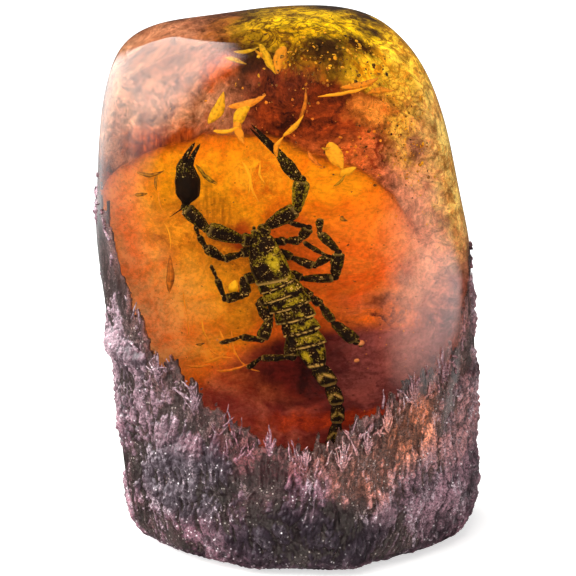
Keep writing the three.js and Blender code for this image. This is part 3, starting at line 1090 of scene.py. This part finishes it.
def hand(clay, line, widths, plain, flat=0.8):
    """A claw's palm: a fluted bulb along a line, black where plain is 1 and speckled where it is 0."""
    rings, marks = [], []
    steps, sides = 22, 40
    places = [laid(*point) for point in line]
    for step in range(steps + 1):
        share = step / steps
        centre, runs = along(places, share)
        side, up = stand_across(runs)
        spot = share * (len(widths) - 1)
        low = min(int(spot), len(widths) - 2)
        width = mix(widths[low], widths[low + 1], ramp(spot - low, 0, 1))
        ring, pairs = [], []
        for i in range(sides):
            turn = FULL_TURN * i / sides
            flute = 1 + 0.045 * math.cos(9 * turn)
            place = centre + width * flute * (side * math.cos(turn) + up * flat * math.sin(turn))
            ring.append(place + 0.06 * noise.noise_vector(place / 0.3))
            pairs.append((mix(0.3, 0.0, ramp(plain - share, -0.05, 0.1)), 0.0))
        rings.append(ring)
        marks.append(pairs)
    clay.loft(rings, marks)


def finger(clay, line, root, mottle):
    """A claw finger: it tapers to a hooked tip and has a row of teeth along its inner edge."""
    places = [laid(*point) for point in line]
    rings, marks = [], []
    steps, sides = 20, 16
    for step in range(steps + 1):
        share = step / steps
        centre, runs = along(places, share)
        side, up = stand_across(runs)
        reach = root * mix(1.0, 0.3, share ** 1.2) * math.sqrt(max(0.02, 1 - share ** 12))
        teeth = 1 + 0.12 * math.cos(FULL_TURN * 9 * share)
        turns = [FULL_TURN * i / sides for i in range(sides)]
        rings.append([
            centre + reach * teeth * (side * math.cos(turn) + up * math.sin(turn)) for turn in turns])
        marks.append([(mottle, 0.0)] * sides)
    clay.loft(rings, marks)


def leg(clay, joints):
    places = [laid(*joint[:3]) for joint in joints]
    for i, (start, end) in enumerate(zip(places, places[1:])):
        width = joints[i + 1][3]
        limb(clay, start, end, 1.22 * width, 0.1, sides=14, keels=4, slim=0.8 if i == 0 else 0.66)
        if i < len(places) - 2:
            ball(clay, end, width * 0.75, 0.15)


def dried_cuticle():
    # A dried scorpion's shell: near-black brown, broken up by olive-yellow mottling, with straw
    # rims where one plate laps the next that are partly painted highlight, cream painted glints, and a waxy
    # sheen.
    material, tree = new_material("dried_scorpion_cuticle")
    place = place_in_mm(tree)
    mottle = add(tree, "Attribute", {"attribute_name": "mottle"})
    rim = add(tree, "Attribute", {"attribute_name": "rim"})
    # Blotches of about half a millimetre, broken by finer ones.
    blotches = {"Scale": 1 / 0.34, "Detail": 4.0, "Roughness": 0.65, "Distortion": 0.6}
    blotch = add(tree, "TexNoise", blotches, {
        "Vector": place})
    level = add(tree, "Math", {"operation": "MULTIPLY_ADD", 1: 0.5}, {
        0: mottle.outputs["Fac"], 2: blotch})
    spots = add(tree, "MapRange", {"From Min": 0.71, "From Max": 0.75}, {"Value": level})
    tint = add(tree, "TexNoise", {"Scale": 1 / 0.9, "Detail": 3.0}, {"Vector": place})
    bright = add(tree, "MapRange", {"From Min": 0.73, "From Max": 1.05}, {"Value": level})
    yellow = add(tree, "Mix", {"data_type": "RGBA", 6: srgb("#46420a"), 7: srgb("#c0b828")}, {
        0: bright})
    brown = add(tree, "Mix", {"data_type": "RGBA", 6: srgb("#060402"), 7: srgb("#231509")}, {
        0: tint})
    shell = add(tree, "Mix", {"data_type": "RGBA"}, {
        0: spots, 6: brown.outputs[2], 7: yellow.outputs[2]})
    # Painted glints: cream dots of a quarter of a millimetre, except on the black hand.
    glint_noise = add(tree, "TexNoise", {"Scale": 1 / 0.24, "Detail": 2.0, "Distortion": 0.8}, {"Vector": place})
    bunched = add(tree, "Math", {"operation": "MULTIPLY_ADD", 1: 0.3}, {
        0: tint, 2: glint_noise})
    glint_specks = add(tree, "MapRange", {"From Min": 0.8, "From Max": 0.86}, {"Value": bunched})
    bare = add(tree, "MapRange", {"From Min": 0.02, "From Max": 0.1}, {"Value": mottle.outputs["Fac"]})
    painted_glints = add(tree, "Math", {"operation": "MULTIPLY"}, {0: glint_specks, 1: bare})
    # The cream of the painted glints also paints the rims, which are partly painted highlight.
    glints_and_rims = add(tree, "Math", {"operation": "MAXIMUM"}, {0: painted_glints, 1: rim.outputs["Fac"]})
    colour = add(tree, "Mix", {"data_type": "RGBA", 7: srgb("#f0d880")}, {
        0: glints_and_rims, 6: shell.outputs[2]})
    bump = add(tree, "Bump", {"Strength": 0.6, "Distance": 0.06 * MM}, {"Height": blotch})
    close_material(
        tree, {"Roughness": 0.35, "IOR": 1.56, "Specular IOR Level": 0.03},
        {"Base Color": colour.outputs[2], "Normal": bump},
    )
    return material


def lay_scorpion():
    cuticle = dried_cuticle()
    trunk = Clay("mottle", "rim")
    carapace(trunk)
    back_plates(trunk)
    trunk.piece("scorpion_trunk", cuticle, "scorpion_cuticle")
    rear = Clay("mottle", "rim")
    tail(rear)
    rear.piece("scorpion_tail", cuticle, "scorpion_cuticle")
    arms = Clay("mottle", "rim")
    claw_arm(arms, LEFT_ARM, LEFT_ARM_JOINTS)
    claw_arm(arms, RIGHT_ARM, RIGHT_ARM_JOINTS)
    hand(arms, [(-13.2, 55.4, 0.3), (-13.0, 58.2, 0.4), (-13.4, 61.0, 0.3), (-13.1, 61.9, 0.2)],
         [0.5, 1.65, 1.75, 1.3, 0.9, 0.5], plain=0.55)
    finger(arms, [(-13.7, 60.6, 0.3), (-13.3, 62.4, 0.3), (-12.1, 64.4, 0.2)], 0.62, 0.16)
    finger(arms, [(-12.9, 60.6, 0.5), (-12.4, 62.5, 0.5), (-11.4, 64.3, 0.4)], 0.55, 0.16)
    finger(arms, [(-13.5, 54.9, 0.2), (-14.4, 54.3, 0.4), (-15.5, 53.5, 0.5)], 0.12, 0.0)
    hand(arms, [(2.0, 59.0, 0.5), (0.9, 60.4, 0.5), (-0.2, 61.9, 0.5), (-1.3, 63.5, 0.4)],
         [0.42, 0.78, 0.9, 0.64, 0.36], plain=-1)
    finger(arms, [(-0.9, 63.1, 0.4), (-2.7, 65.0, 0.4), (-4.6, 66.8, 0.3)], 0.42, 0.06)
    finger(arms, [(-1.1, 62.9, 0.6), (-2.9, 64.6, 0.6), (-4.8, 66.4, 0.5)], 0.36, 0.06)
    arms.piece("scorpion_claw_arms", cuticle, "scorpion_cuticle")
    legs = Clay("mottle", "rim")
    for joints in LEGS:
        leg(legs, joints)
    legs.piece("scorpion_legs", cuticle, "scorpion_cuticle")


# ---------------------------------------------------------------- scraps of petal, leaf and bark

PETAL_DEPTH = -5.0
CHAFF_DEPTH = -3.0
# Each petal: its root and tip across the face in mm, its width, its bow, how pale it is and how
# orange it is.
PETALS = [
    ((-10.5, 67.2), (-8.6, 71.6), 1.7, 0.45, 0.75, 0.25),
    ((-7.8, 69.4), (-2.7, 71.0), 1.15, 0.35, 0.8, 0.85),
    ((-6.7, 66.6), (-4.8, 70.0), 1.9, -0.4, 0.75, 0.15), ((-9.8, 66.2), (-6.2, 66.9), 0.7, 0.3, 0.8, 0.35),
    ((-3.9, 78.3), (-1.4, 73.7), 1.2, 0.2, 0.7, 0.1), ((-0.5, 77.6), (-1.2, 73.7), 1.9, 0.2, 0.85, 0.7),
    ((-7.6, 77.0), (-3.9, 78.0), 0.8, 0.3, 0.6, 0.05), ((-8.6, 76.1), (-5.6, 75.2), 0.7, -0.2, 0.55, 0.1),
    ((-0.4, 65.4), (2.3, 68.5), 0.8, 0.15, 0.8, 0.45), ((-1.2, 62.6), (-0.3, 65.6), 0.8, -0.5, 0.8, 0.7),
    ((4.4, 63.9), (5.4, 64.1), 0.35, 0.1, 0.35, 0.1), ((5.2, 64.6), (6.6, 61.0), 1.9, 0.1, 0.85, 0.5),
    ((6.3, 59.9), (8.1, 61.2), 1.2, -0.1, 0.85, 0.3), ((5.6, 58.4), (7.0, 60.2), 0.4, 0.1, 0.35, 0.1),
    ((-6.6, 68.1), (-5.6, 64.6), 1.3, 0.3, 0.85, 0.75), ((-3.2, 75.6), (-4.6, 77.4), 0.7, 0.2, 0.75, 0.6),
]
# The same for the thin chaff, which lies deeper.
CHAFF = [
    ((4.0, 70.0), (10.2, 71.6), 0.45, 0.15, 0.9, 0.5), ((6.3, 71.0), (11.6, 72.8), 1.0, 0.3, 0.75, 0.8),
    ((9.5, 70.4), (14.0, 71.2), 0.9, -0.3, 0.7, 0.8), ((-11.8, 61.0), (-8.9, 58.4), 0.55, 0.25, 0.2, 0.0),
    ((-11.2, 60.2), (-9.0, 58.2), 0.4, 0.25, 0.12, 0.0),
    ((-20.5, 56.2), (-18.6, 56.6), 0.6, 0.0, 0.18, 0.6),
    ((-20.2, 59.6), (-16.2, 60.1), 0.65, 0.5, 0.2, 0.6),
    ((-17.1, 59.4), (-17.3, 57.2), 0.5, 0.2, 0.25, 0.6),
    ((-15.1, 41.9), (-15.2, 47.6), 1.2, 0.1, 0.42, 1.0),
    ((-13.2, 42.6), (-12.4, 38.4), 0.22, 0.2, 0.95, 0.8),
    ((-12.4, 38.6), (-12.3, 34.9), 0.22, 0.1, 0.95, 0.8),
    ((-16.9, 56.9), (-16.2, 53.9), 0.22, 0.2, 0.9, 0.8),
    ((-6.7, 42.0), (-6.3, 44.2), 1.5, 0.0, 1.2, 0.0), ((-11.3, 34.2), (-10.2, 34.6), 0.4, 0.1, 0.1, 0.6),
    ((-10.2, 31.4), (-7.0, 33.6), 0.5, 0.3, 0.9, 0.8), ((-8.2, 36.6), (-6.8, 33.8), 0.3, 0.2, 0.95, 0.7),
    ((6.2, 53.5), (6.9, 52.9), 0.6, 0.1, 0.05, 0.5), ((-12.6, 30.8), (-9.4, 31.3), 0.4, 0.2, 0.85, 0.9),
    ((-8.6, 30.2), (-4.4, 31.6), 0.5, 0.3, 0.8, 1.0),
    ((-5.6, 61.4), (-4.7, 57.0), 0.5, -0.6, 1.0, 0.3), ((-4.4, 60.6), (-3.4, 55.8), 0.35, 0.5, 1.0, 0.4),
    ((-3.2, 61.2), (-2.6, 58.4), 0.4, 0.4, 0.9, 0.3), ((-6.6, 36.4), (-5.2, 31.6), 0.3, 0.5, 1.0, 0.8),
    ((-5.3, 31.8), (-3.0, 30.4), 0.3, 0.2, 1.0, 0.9), ((-10.5, 38.2), (-9.4, 34.6), 0.25, 0.4, 1.0, 0.6),
    ((-9.6, 33.6), (-6.4, 32.4), 0.35, 0.4, 1.0, 0.8), ((-16.0, 52.4), (-15.2, 48.4), 0.25, -0.4, 1.0, 0.5),
    ((1.8, 67.2), (2.6, 71.2), 0.5, 0.3, 0.55, 0.9), ((2.8, 62.9), (4.4, 60.9), 0.6, 0.2, 0.65, 1.0),
]
# Where crumbs lie thickest: how many, the middle and the reach across the face, the nearest and
# farthest depth, the smallest and largest size, and how pale and how orange they may be, in mm.
CRUMBS = [
    (180, (8, 76), (11, 4), (-7, 1), (0.1, 0.34), (0.5, 1.0), (0.0, 0.5)),
    (140, (7, 75), (11, 4), (-7, 1), (0.1, 0.4), (0.0, 0.12), (0.0, 0.6)),
    (170, (17, 65), (4, 11), (-6, 1), (0.08, 0.3), (0.5, 1.0), (0.1, 0.6)),
    (130, (15, 64), (5, 9), (-6, 1), (0.08, 0.32), (0.0, 0.15), (0.2, 0.8)),
    (90, (11, 63), (7, 7), (-5, 0), (0.08, 0.3), (0.5, 0.95), (0.7, 1.0)),
    (70, (10, 64), (7, 7), (-5, 0), (0.1, 0.4), (0.0, 0.2), (0.5, 1.0)),
    (70, (-1, 69), (12, 5), (-5, 0), (0.08, 0.3), (0.0, 0.9), (0.5, 1.0)),
    (70, (8, 46), (10, 11), (-6, 1), (0.06, 0.2), (0.0, 0.15), (0.3, 1.0)),
    (50, (-10, 45), (10, 13), (-6, 1), (0.05, 0.16), (0.0, 0.3), (0.3, 1.0)),
    (60, (13, 36), (8, 9), (-6, 1), (0.06, 0.2), (0.5, 1.0), (0.8, 1.0)),
]
# Bubbles: (right, up, depth, half-width).
BUBBLES = [
    (8.6, 34.8, -4.2, 0.42), (8.0, 31.9, -3.2, 0.3), (13.8, 37.2, -4.5, 0.16), (-8.9, 35.9, -6.5, 0.14),
]


def petal(clay, root, tip, width, bow, pale, rust, depth):
    """A thin, cupped petal that bows sideways, with a paler midrib and browned edges."""
    start, end = Vector((root[0], depth, root[1])), Vector((tip[0], depth - 0.5, tip[1]))
    runs = (end - start).normalized()
    side, up = stand_across(runs)
    rings, marks = [], []
    steps, sides = 22, 20
    for step in range(steps + 1):
        share = step / steps
        wide = 0.43 * width * (0.08 + math.sin(math.pi * share ** 0.8) ** 0.8)
        centre = start.lerp(end, share) + side * bow * math.sin(math.pi * share)
        centre += up * 0.3 * math.sin(math.pi * share)
        ring, pairs = [], []
        for i in range(sides):
            turn = FULL_TURN * i / sides
            across, over = math.cos(turn), math.sin(turn)
            frill = 1 + 0.18 * noise.noise(Vector((root[0], 5 * share, math.copysign(1, across))))
            place = centre + side * wide * across * frill + up * (0.06 * over - 0.35 * wide * across ** 2)
            ring.append(place + 0.1 * noise.noise_vector(place / 0.8))
            rib = 0.25 * math.exp(-(across / 0.12) ** 2)
            browned = 0.5 * ramp(abs(across), 0.75, 1) + 0.35 * ramp(share, 0.8, 1)
            pairs.append((max(0, min(1, pale + rib - browned * 0.5)), rust))
        rings.append(ring)
        marks.append(pairs)
    clay.loft(rings, marks)


def crumb(clay, draw, centre, size, pale, rust):
    """An angular crumb of dried matter, turned at random."""
    spin = Matrix.Rotation(draw.uniform(0, FULL_TURN), 3, "Z")
    turn = spin @ Matrix.Rotation(draw.uniform(0, math.pi), 3, "X")
    flat = draw.uniform(0.25, 0.8)
    rings, marks = [], []
    for lift in (-0.7, 0.0, 0.7):
        reach = math.sqrt(1 - lift * lift)
        rings.append([
            centre + size * draw.uniform(0.65, 1.1) * (turn @ Vector((
                reach * math.cos(FULL_TURN * i / 6), reach * math.sin(FULL_TURN * i / 6), lift * flat)))
            for i in range(6)])
        marks.append([(pale, rust)] * 6)
    clay.loft(rings, marks)


def dried_petal():
    # Dried petals and bark crumbs: papery and slightly mottled, from dark brown to straw yellow.
    material, tree = new_material("dried_petal_and_bark")
    in_mm = place_in_mm(tree)
    pale = add(tree, "Attribute", {"attribute_name": "pale"})
    rust = add(tree, "Attribute", {"attribute_name": "rust"})
    paper = add(tree, "TexNoise", {"Scale": 1 / 0.5, "Detail": 4.0}, {"Vector": in_mm})
    level = add(tree, "Math", {"operation": "MULTIPLY_ADD", 1: 1.5, 2: -0.68}, {0: paper})
    spread = add(tree, "Math", {"operation": "ADD", "use_clamp": True}, {
        0: pale.outputs["Fac"], 1: level})
    straw = add(tree, "Mix", {"data_type": "RGBA", 6: srgb("#2a1a06"), 7: srgb("#fccc1c")}, {
        0: spread})
    orange = add(tree, "Mix", {"data_type": "RGBA", 6: srgb("#34140a"), 7: srgb("#f09024")}, {
        0: spread})
    colour = add(tree, "Mix", {"data_type": "RGBA"}, {
        0: rust.outputs["Fac"], 6: straw.outputs[2], 7: orange.outputs[2]})
    bump = add(tree, "Bump", {"Strength": 0.5, "Distance": 0.05 * MM}, {"Height": paper})
    close_material(
        tree, {"Roughness": 0.5, "IOR": 1.5, "Specular IOR Level": 0.2},
        {"Base Color": colour.outputs[2], "Normal": bump},
    )
    return material


def trapped_air():
    # A bubble's skin: pale and glossy.
    material, tree = new_material("trapped_air_bubble")
    close_material(tree, {"Base Color": srgb("#d89c6c"), "Roughness": 0.1, "IOR": 1.33})
    return material


def scatter_scraps():
    draw = random.Random(7)
    petals = Clay("pale", "rust")
    for scrap in PETALS:
        petal(petals, *scrap, PETAL_DEPTH)
    for scrap in CHAFF:
        petal(petals, *scrap, CHAFF_DEPTH)
    material = dried_petal()
    petals.piece("dried_petals", material, "plant_scraps")
    crumbs = Clay("pale", "rust")
    for count, middle, reach, depths, sizes, pales, rusts in CRUMBS:
        for _ in range(count):
            across = draw.gauss(middle[0], reach[0] / 2)
            place = Vector((across, draw.uniform(*depths), draw.gauss(middle[1], reach[1] / 2)))
            size = mix(*sizes, draw.random() ** 3)
            pale, rust = draw.uniform(*pales), draw.uniform(*rusts)
            point, faces = skin_at(math.atan2(place.y - CORE.y, place.x - CORE.x), min(place.z, CROWN - 3))
            away = Vector((point.x - CORE.x, point.y - CORE.y)).length
            if Vector((place.x - CORE.x, place.y - CORE.y)).length < away - 2.5 and place.z < CROWN - 4:
                crumb(crumbs, draw, place, size, pale, rust)
    crumbs.piece("bark_crumbs", material, "plant_scraps")
    air = Clay("pale", "rust")
    for right, up, depth, reach in BUBBLES:
        ball(air, Vector((right, depth, up)), reach, 0.0)
    air.piece("air_bubbles", trapped_air(), "amber_resin")


# ---------------------------------------------------------------- studio

FLOOR_REACH = (220 * MM, 110 * MM)
SHEET_DISTANCE = 700.0
# What the gloss mirrors, as sheets of light that the camera doesn't see. Each corner is a direction
# from the block: its azimuth from -Y towards +X, its elevation, and how far inside it the light is
# full, as a share of the way to the middle.
LEFT_WINDOW = {
    "middle": (-92, 32),
    "corners": [
        (-140, 20, 0.4), (-130, 34, 0.2), (-130, 46, 0.06),
        (-140, 54, 0.02), (-157, 54, 0.06), (-160, 65, 0.05),
        (-140, 74, 0.07), (-110, 78, 0.08), (-84, 77, 0.09),
        (-58, 72, 0.11), (-48, 64, 0.14), (-41, 50, 0.2),
        (-40, 38, 0.25), (-42, 24, 0.3), (-50, 10, 0.35), (-58, 2, 0.4), (-68, -5, 0.5), (-86, -12, 0.7),
        (-110, -18, 0.75), (-132, -22, 0.75), (-160, -24, 0.78), (-176, -16, 0.78),
    ],
}
RIGHT_CARD = {
    "middle": (93, -13),
    "corners": [
        (56, -12, 0.8), (64, -4, 0.75), (78, 0, 0.6), (92, 1, 0.6), (112, -2, 0.6), (124, -12, 0.6),
        (118, -17, 0.6), (98, -21, 0.75), (80, -23, 0.8), (64, -20, 0.8),
    ],
}


def towards(azimuth, elevation):
    turn, lift = math.radians(azimuth), math.radians(elevation)
    return Vector((math.sin(turn) * math.cos(lift), -math.cos(turn) * math.cos(lift), math.sin(lift)))


def light_sheet(name, outline, strength):
    """A lit cloth, bright in the middle and fading out to its corners."""
    middle = towards(*outline["middle"])
    points, shine, faces = [middle], [1.0], []
    for azimuth, elevation, fade in outline["corners"]:
        corner = towards(azimuth, elevation)
        points += [corner.lerp(middle, fade).normalized(), corner]
        shine += [1.0, 0.0]
    count = len(outline["corners"])
    for i in range(count):
        inner, outer = 1 + 2 * i, 2 + 2 * i
        after = 1 + 2 * ((i + 1) % count)
        faces += [(0, inner, after), (inner, outer, after + 1, after)]
    mesh = bpy.data.meshes.new(name)
    mesh.from_pydata([point * SHEET_DISTANCE * MM for point in points], [], faces)
    mesh.attributes.new("shine", "FLOAT", "POINT").data.foreach_set("value", shine)
    material, tree = new_material(name + "_cloth")
    level = add(tree, "Attribute", {"attribute_name": "shine"})
    soft = add(tree, "MapRange", {"interpolation_type": "SMOOTHSTEP"}, {"Value": level.outputs["Fac"]})
    power = add(tree, "Math", {"operation": "MULTIPLY", 1: strength}, {0: soft})
    glow = add(tree, "Emission", {"Color": srgb("#ffffff")}, {"Strength": power})
    add(tree, "OutputMaterial", None, {"Surface": glow})
    sheet = new_piece(name, mesh, material)
    sheet.visible_camera = False
    sheet.visible_transmission = False
    sheet.visible_shadow = False


def lay_floor():
    # Matt white paper, so brightly lit that it nearly glows. The gloss doesn't mirror it.
    material, tree = new_material("white_paper")
    settings = {
        "Base Color": srgb("#d8d6d4"),
        "Roughness": 0.9,
        "Emission Color": srgb("#ffffff"),
        "Emission Strength": 0.6,
    }
    close_material(tree, settings)
    work = bmesh.new()
    bmesh.ops.create_circle(work, cap_ends=True, segments=96, radius=1)
    bmesh.ops.scale(work, verts=work.verts, vec=(*FLOOR_REACH, 1))
    bmesh.ops.translate(work, verts=work.verts, vec=(0, 0, (RIND_UNDER - 0.02) * MM))
    mesh = bpy.data.meshes.new("floor")
    work.to_mesh(mesh)
    work.free()
    floor = new_piece("floor", mesh, material)
    floor.visible_glossy = False


def light_world():
    # White paper on every side. What the gloss mirrors is a dim room instead.
    world = bpy.data.worlds.new("white_studio")
    bpy.context.scene.world = world
    world.use_nodes = True
    tree = world.node_tree
    tree.nodes.clear()
    path = add(tree, "LightPath")
    room = add(tree, "Background", {"Color": srgb("#ffffff"), "Strength": 0.05})
    fill = add(tree, "Background", {"Color": srgb("#ffffff"), "Strength": 0.5})
    paper = add(tree, "Background", {"Color": srgb("#ffffff"), "Strength": 1.5})
    mirrored = add(tree, "MixShader", None, {
        0: path.outputs["Is Glossy Ray"], 1: fill, 2: room})
    seen = add(tree, "Math", {"operation": "MAXIMUM"}, {
        0: path.outputs["Is Camera Ray"], 1: path.outputs["Is Transmission Ray"]})
    whole = add(tree, "MixShader", None, {
        0: seen, 1: mirrored, 2: paper})
    add(tree, "OutputWorld", None, {"Surface": whole})


def hang_softbox(name, azimuth, elevation, distance, size, watts):
    """A soft lamp that looks at the block. Azimuth runs from -Y towards +X, in degrees."""
    data = bpy.data.lights.new(name, "AREA")
    data.shape = "RECTANGLE"
    data.size, data.size_y = size
    data.energy = watts
    lamp = bpy.data.objects.new(name, data)
    bpy.context.scene.collection.objects.link(lamp)
    away = towards(azimuth, elevation)
    lamp.location = Vector((0, 0, 40 * MM)) + distance * away
    lamp.rotation_euler = away.to_track_quat("Z", "Y").to_euler()
    lamp.visible_camera = False
    lamp.visible_glossy = False


def set_studio():
    lay_floor()
    light_world()
    light_sheet("left_window", LEFT_WINDOW, 6.2)
    light_sheet("right_card", RIGHT_CARD, 2.5)
    hang_softbox("top_softbox", -30, 55, 0.6, (0.5, 0.5), 4)
    bpy.context.scene.view_settings.view_transform = "Standard"


stand_camera()
block = cast_block()
skin = read_skin(block)
pour_cloud()
lay_scorpion()
scatter_scraps()
grow_rind()
set_studio()
